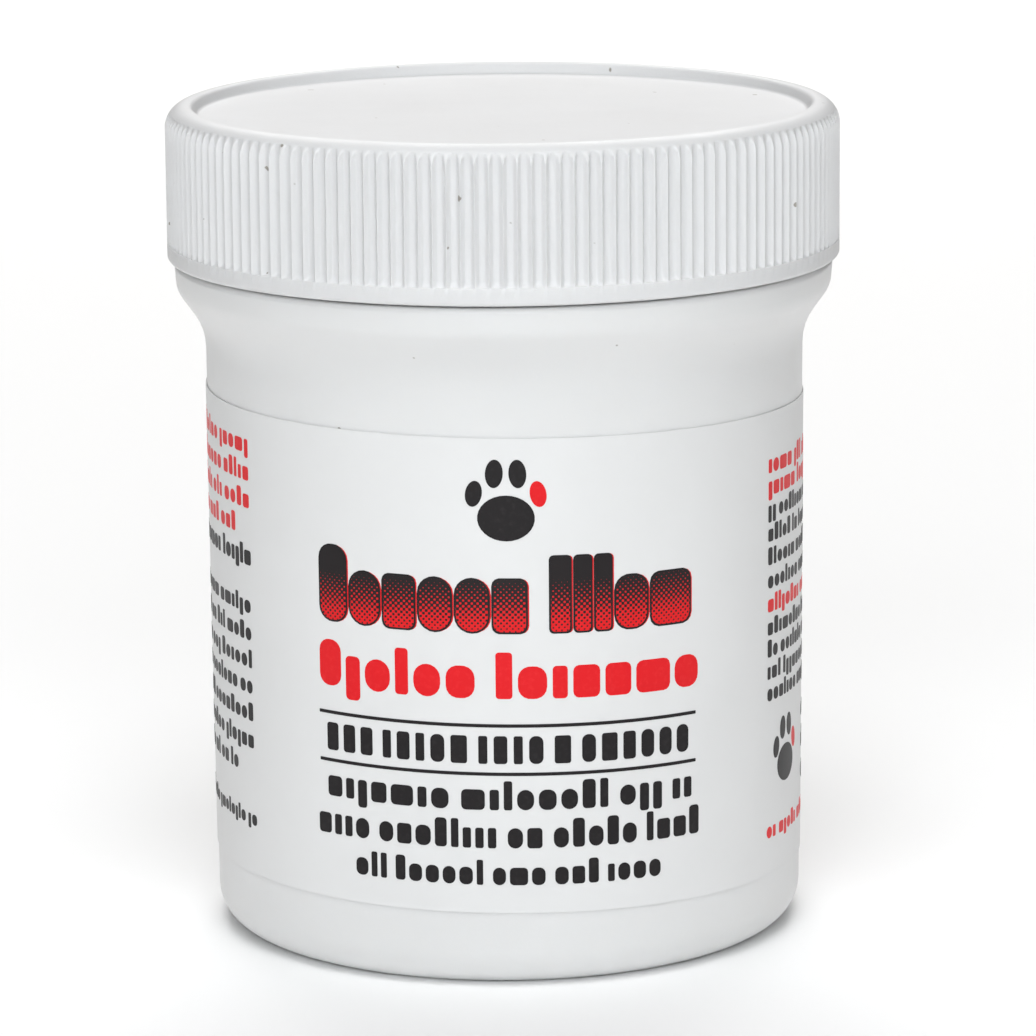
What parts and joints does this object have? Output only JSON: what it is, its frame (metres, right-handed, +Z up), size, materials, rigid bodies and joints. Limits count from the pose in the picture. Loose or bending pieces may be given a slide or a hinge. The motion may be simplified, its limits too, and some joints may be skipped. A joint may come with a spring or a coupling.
{
  "type": "styptic powder jar",
  "caption": "Small straight-sided round jar with a ribbed screw cap, a recessed cap top, a threaded neck, a wrap label and a fill of powder.",
  "frame": {"origin": "centre of the jar's standing face, on its own axis", "axes": "+Z up along the jar's axis, from base to cap; the label's front faces -Y and its lap seam faces +Y"},
  "size_m": [0.051, 0.051, 0.0632],
  "materials": {
    "jar_plastic": "satin",
    "label_film": "satin",
    "powder": "matte",
    "liner_board": "matte",
    "cap_plastic": "satin"
  },
  "bodies": {
    "jar": {"jar_body": "jar_plastic", "wrap_label": "label_film", "styptic_powder": "powder"},
    "liner": {"cap_liner": "liner_board"},
    "cap": {"screw_cap": "cap_plastic"}
  },
  "joints": [
    {"name": "cap_rise", "type": "slide", "parent": "jar", "child": "liner", "axis": [0, 0, 1], "range_m": [0, 0.017]},
    {"name": "cap_turn", "type": "hinge", "parent": "liner", "child": "cap", "pos_m": [0, 0, 0.0564], "axis": [0, 0, 1], "range_deg": [0, 1440]}
  ],
  "couplings": [
    {"joint": "cap_rise", "follows": "cap_turn", "m_per_rad": 0.00067375}
  ]
}
